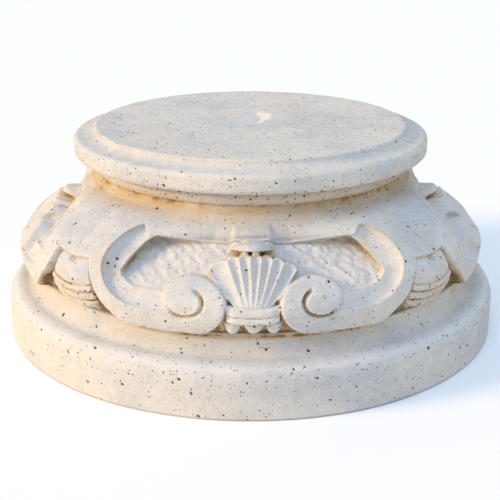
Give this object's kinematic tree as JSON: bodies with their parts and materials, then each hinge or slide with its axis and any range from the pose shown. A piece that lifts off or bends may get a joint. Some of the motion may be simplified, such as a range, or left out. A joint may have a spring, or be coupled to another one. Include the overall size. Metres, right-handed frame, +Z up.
{
  "type": "garden pedestal",
  "caption": "Low round garden pedestal of pale cast stone, with a flat round seat, a carved body of shells and scrolls, and a thick round foot.",
  "frame": {"origin": "centre of the foot's underside, on the ground", "axes": "+Z up along the axis of the round foot and seat, -Y towards the shell seen in the middle of the picture, +X to its right"},
  "size_m": [0.42, 0.42, 0.1713],
  "materials": {
    "cast_stone": "weathered pale cast stone with small open pits and brown dirt in its hollows"
  },
  "bodies": {
    "root": {"pedestal": "cast_stone"}
  },
  "joints": []
}
